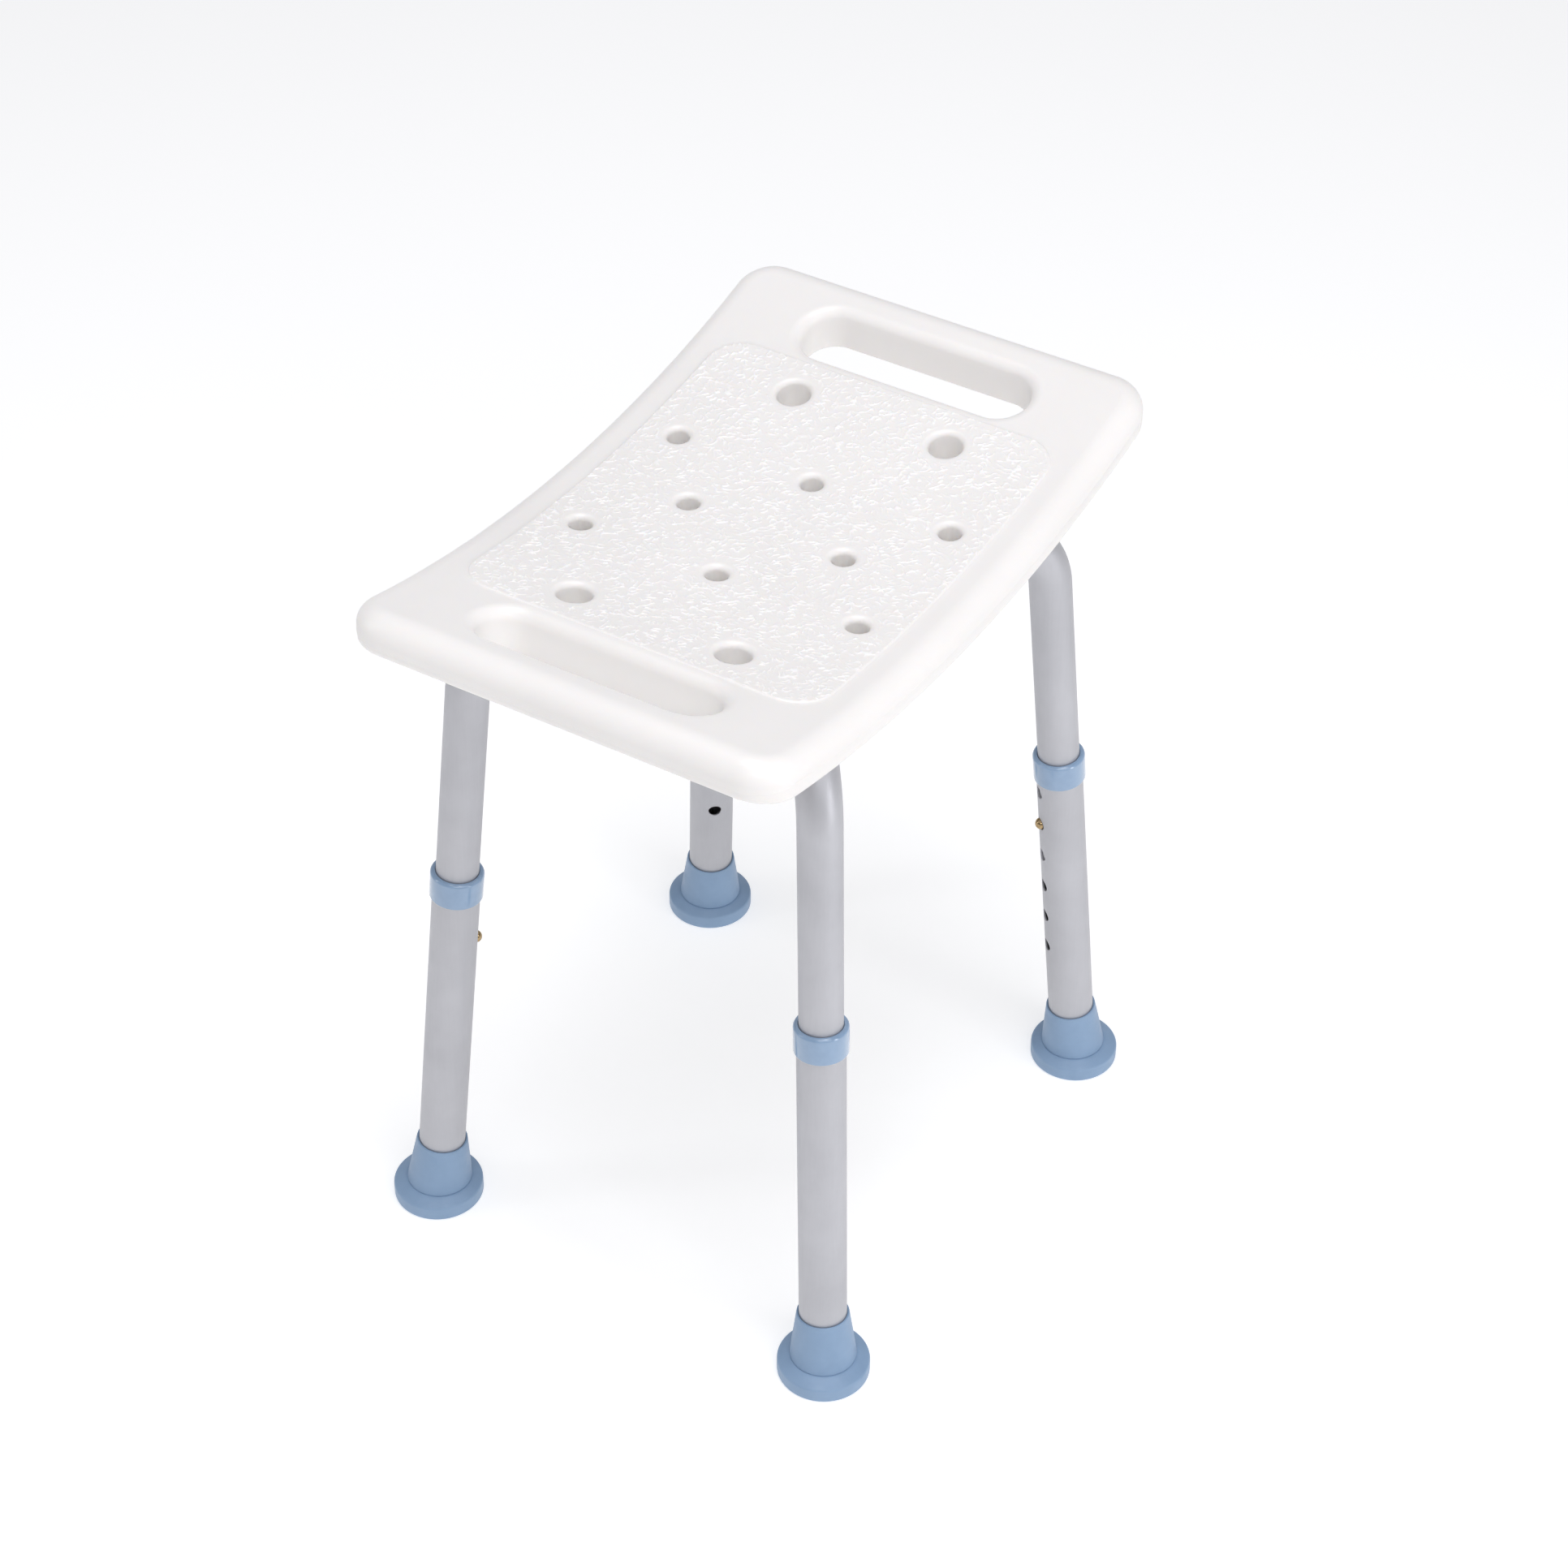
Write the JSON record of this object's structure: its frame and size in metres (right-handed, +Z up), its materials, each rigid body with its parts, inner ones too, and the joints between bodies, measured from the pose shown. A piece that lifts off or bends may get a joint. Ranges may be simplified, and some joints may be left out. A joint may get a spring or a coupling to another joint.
{
  "type": "shower stool",
  "caption": "Backless shower stool: dished white plastic seat with hand slots and drain holes on splayed telescopic aluminium legs with rubber feet.",
  "frame": {"origin": "middle of the bounding box at floor level, under the middle of the seat", "axes": "+X along the seat's long axis to the sitter's left, -Y to the front, +Z up"},
  "size_m": [0.42, 0.33, 0.4814],
  "materials": {
    "seat_plastic": "white blow-moulded polyethylene, satin, fine wrinkled panel",
    "tube_aluminium": "satin anodised tube",
    "collar_plastic": "glossy light-blue moulded plastic",
    "foot_rubber": "light-blue moulded rubber, satin",
    "button_brass": "polished",
    "spring_steel": "spring strip",
    "screw_steel": "zinc plated",
    "insert_brass": "machined",
    "plug_plastic": "black moulded plastic"
  },
  "bodies": {
    "seat_frame": {"seat_shell": "seat_plastic", "seat_inserts": "insert_brass", "frame_screws": "screw_steel", "saddle_washers": "plug_plastic", "upper_tube_front_left": "tube_aluminium", "upper_tube_front_right": "tube_aluminium", "upper_tube_rear_left": "tube_aluminium", "upper_tube_rear_right": "tube_aluminium", "arm_plug_front_left": "plug_plastic", "arm_plug_front_right": "plug_plastic", "arm_plug_rear_left": "plug_plastic", "arm_plug_rear_right": "plug_plastic", "snap_spring_front_left": "spring_steel", "snap_spring_front_right": "spring_steel", "snap_spring_rear_left": "spring_steel", "snap_spring_rear_right": "spring_steel"},
    "leg_front_left": {"lower_tube_front_left": "tube_aluminium", "height_collar_front_left": "collar_plastic", "foot_washer_front_left": "screw_steel", "rubber_foot_front_left": "foot_rubber"},
    "button_front_left": {"snap_button_front_left": "button_brass"},
    "leg_front_right": {"lower_tube_front_right": "tube_aluminium", "height_collar_front_right": "collar_plastic", "foot_washer_front_right": "screw_steel", "rubber_foot_front_right": "foot_rubber"},
    "button_front_right": {"snap_button_front_right": "button_brass"},
    "leg_rear_left": {"lower_tube_rear_left": "tube_aluminium", "height_collar_rear_left": "collar_plastic", "foot_washer_rear_left": "screw_steel", "rubber_foot_rear_left": "foot_rubber"},
    "button_rear_left": {"snap_button_rear_left": "button_brass"},
    "leg_rear_right": {"lower_tube_rear_right": "tube_aluminium", "height_collar_rear_right": "collar_plastic", "foot_washer_rear_right": "screw_steel", "rubber_foot_rear_right": "foot_rubber"},
    "button_rear_right": {"snap_button_rear_right": "button_brass"}
  },
  "joints": [
    {"name": "height_front_left", "type": "slide", "parent": "seat_frame", "child": "leg_front_left", "axis": [0.0722, -0.0636, -0.9954], "range_m": [-0.1016, 0.0254], "deforming": ["snap_button_front_left", "snap_spring_front_left"]},
    {"name": "press_front_left", "type": "slide", "parent": "seat_frame", "child": "button_front_left", "axis": [0.7467, -0.6582, 0.0962], "range_m": [0, 0.0048], "stiffness_N_per_m": 1500, "springref_m": -0.003, "deforming": ["snap_spring_front_left"]},
    {"name": "height_front_right", "type": "slide", "parent": "seat_frame", "child": "leg_front_right", "axis": [-0.0722, -0.0636, -0.9954], "range_m": [-0.1016, 0.0254], "deforming": ["snap_button_front_right", "snap_spring_front_right"]},
    {"name": "press_front_right", "type": "slide", "parent": "seat_frame", "child": "button_front_right", "axis": [-0.7467, -0.6582, 0.0962], "range_m": [0, 0.0048], "stiffness_N_per_m": 1500, "springref_m": -0.003, "deforming": ["snap_spring_front_right"]},
    {"name": "height_rear_left", "type": "slide", "parent": "seat_frame", "child": "leg_rear_left", "axis": [0.0722, 0.0636, -0.9954], "range_m": [-0.1016, 0.0254], "deforming": ["snap_button_rear_left", "snap_spring_rear_left"]},
    {"name": "press_rear_left", "type": "slide", "parent": "seat_frame", "child": "button_rear_left", "axis": [0.7467, 0.6582, 0.0962], "range_m": [0, 0.0048], "stiffness_N_per_m": 1500, "springref_m": -0.003, "deforming": ["snap_spring_rear_left"]},
    {"name": "height_rear_right", "type": "slide", "parent": "seat_frame", "child": "leg_rear_right", "axis": [-0.0722, 0.0636, -0.9954], "range_m": [-0.1016, 0.0254], "deforming": ["snap_button_rear_right", "snap_spring_rear_right"]},
    {"name": "press_rear_right", "type": "slide", "parent": "seat_frame", "child": "button_rear_right", "axis": [-0.7467, 0.6582, 0.0962], "range_m": [0, 0.0048], "stiffness_N_per_m": 1500, "springref_m": -0.003, "deforming": ["snap_spring_rear_right"]}
  ]
}
